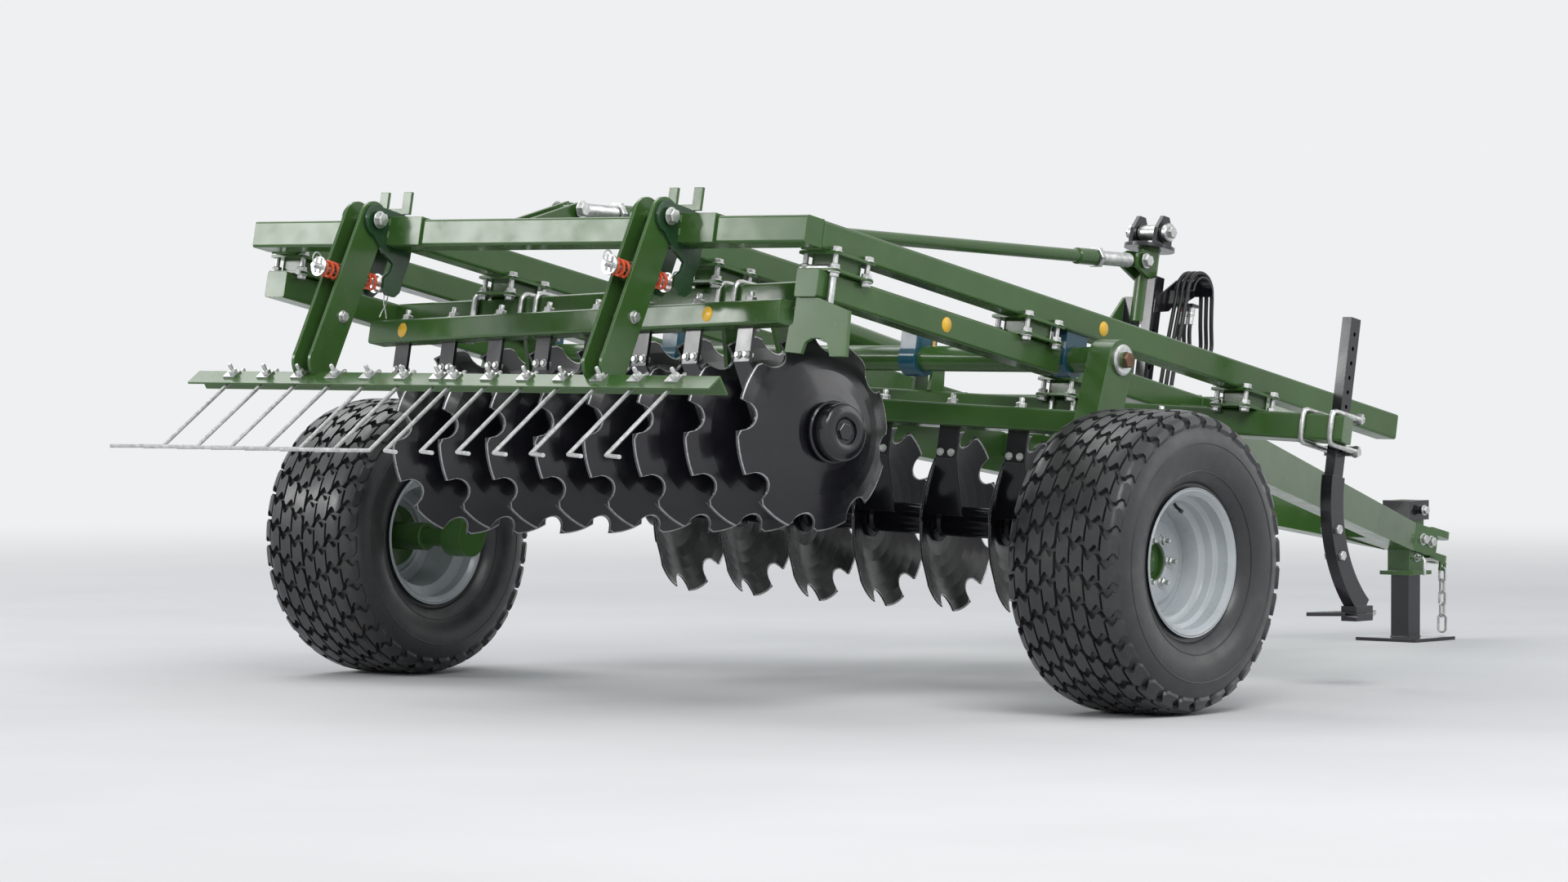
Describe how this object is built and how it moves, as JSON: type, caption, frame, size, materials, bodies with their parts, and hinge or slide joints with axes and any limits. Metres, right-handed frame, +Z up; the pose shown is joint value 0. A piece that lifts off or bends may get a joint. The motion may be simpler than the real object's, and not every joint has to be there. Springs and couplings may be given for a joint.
{
  "type": "offset disc harrow",
  "caption": "Trailed offset disc harrow raised on its transport wheels, with two skewed gangs of notched discs, a rear tine harrow, a tow drawbar and a parking stand.",
  "frame": {"origin": "on the ground below the middle of the machine's length and width", "axes": "+X the way it is towed, +Y its left side, +Z up"},
  "size_m": [5.5313, 3.352, 1.5055],
  "materials": {
    "green_paint": "gloss",
    "dark_green_paint": "gloss",
    "black_paint": "gloss",
    "silver_paint": "satin",
    "zinc": "galvanised",
    "orange_paint": "gloss",
    "teal_paint": "gloss",
    "chrome": "polished",
    "hose_rubber": "satin",
    "tyre": "matt rubber"
  },
  "bodies": {
    "root": {"rear_beam": "green_paint", "side_beam_left": "green_paint", "side_beam_right": "green_paint", "inner_beam_left": "green_paint", "inner_beam_right": "green_paint", "front_cross_beam": "green_paint", "lower_beam_left": "green_paint", "lower_beam_right": "green_paint", "frame_spacers": "green_paint", "beam_forks": "zinc", "end_bracket": "green_paint", "rear_gang_beam": "green_paint", "front_gang_beam": "green_paint", "rear_scraper_beam": "green_paint", "front_scraper_beam": "green_paint", "rear_scrapers": "black_paint", "front_scrapers": "black_paint", "rear_hangers": "green_paint", "front_hangers": "green_paint", "shaft_bearings": "teal_paint", "drawbar_leg_left": "green_paint", "drawbar_leg_right": "green_paint", "hitch_box": "green_paint", "safety_chain": "zinc", "mast": "green_paint", "top_link": "green_paint", "hose_rack": "green_paint", "hose_couplers": "zinc", "hose_inner": "hose_rubber", "hose_middle": "hose_rubber", "hose_outer": "hose_rubber", "corner_tine": "black_paint", "harrow_brackets": "dark_green_paint", "harrow_arms": "green_paint", "harrow_springs": "orange_paint", "spring_rods": "zinc", "tine_bar": "green_paint", "harrow_tines": "zinc", "stand_sleeve": "green_paint", "cylinder_bracket": "green_paint"},
    "lift": {"rock_shaft": "green_paint", "wheel_arm_left": "green_paint", "wheel_arm_right": "green_paint"},
    "wheel_left": {"tyre_left": "tyre", "rim_left": "silver_paint", "hub_left": "green_paint"},
    "wheel_right": {"tyre_right": "tyre", "rim_right": "silver_paint", "hub_right": "green_paint"},
    "gang_rear": {"rear_discs": "black_paint", "rear_axle": "black_paint"},
    "gang_front": {"front_discs": "black_paint", "front_axle": "black_paint"},
    "lift_barrel": {"lift_barrel": "green_paint"},
    "lift_rod": {"lift_rod": "chrome"},
    "stand": {"stand_leg": "black_paint"}
  },
  "joints": [
    {"name": "lift", "type": "hinge", "parent": "root", "child": "lift", "pos_m": [-0.82347, 0, 1.01116], "axis": [0, 1, 0], "range_deg": [0, 60]},
    {"name": "wheel_left_turn", "type": "hinge", "parent": "lift", "child": "wheel_left", "pos_m": [-1.03019, 1.474, 0.437], "axis": [0, 1, 0], "continuous": true},
    {"name": "wheel_right_turn", "type": "hinge", "parent": "lift", "child": "wheel_right", "pos_m": [-1.03019, -1.474, 0.437], "axis": [0, 1, 0], "continuous": true},
    {"name": "gang_rear_turn", "type": "hinge", "parent": "root", "child": "gang_rear", "pos_m": [-1.6838, -0.154, 0.78514], "axis": [0.1702, 0.9848, -0.0346], "continuous": true},
    {"name": "gang_front_turn", "type": "hinge", "parent": "root", "child": "gang_front", "pos_m": [-0.32759, -0.028, 0.50922], "axis": [-0.2371, 0.9703, 0.0482], "continuous": true},
    {"name": "barrel_tilt", "type": "hinge", "parent": "root", "child": "lift_barrel", "pos_m": [-0.15758, 0, 0.98181], "axis": [0, 1, 0], "range_deg": [0, 2.24]},
    {"name": "rod_slide", "type": "slide", "parent": "lift_barrel", "child": "lift_rod", "axis": [-0.9732, 0, 0.2301], "range_m": [-0.15108, 0]},
    {"name": "stand_slide", "type": "slide", "parent": "root", "child": "stand", "axis": [0, 0, 1], "range_m": [0, 0.2]}
  ],
  "couplings": [
    {"joint": "barrel_tilt", "follows": "lift", "ratio": 0.03663},
    {"joint": "rod_slide", "follows": "lift", "m_per_rad": -0.14284}
  ]
}
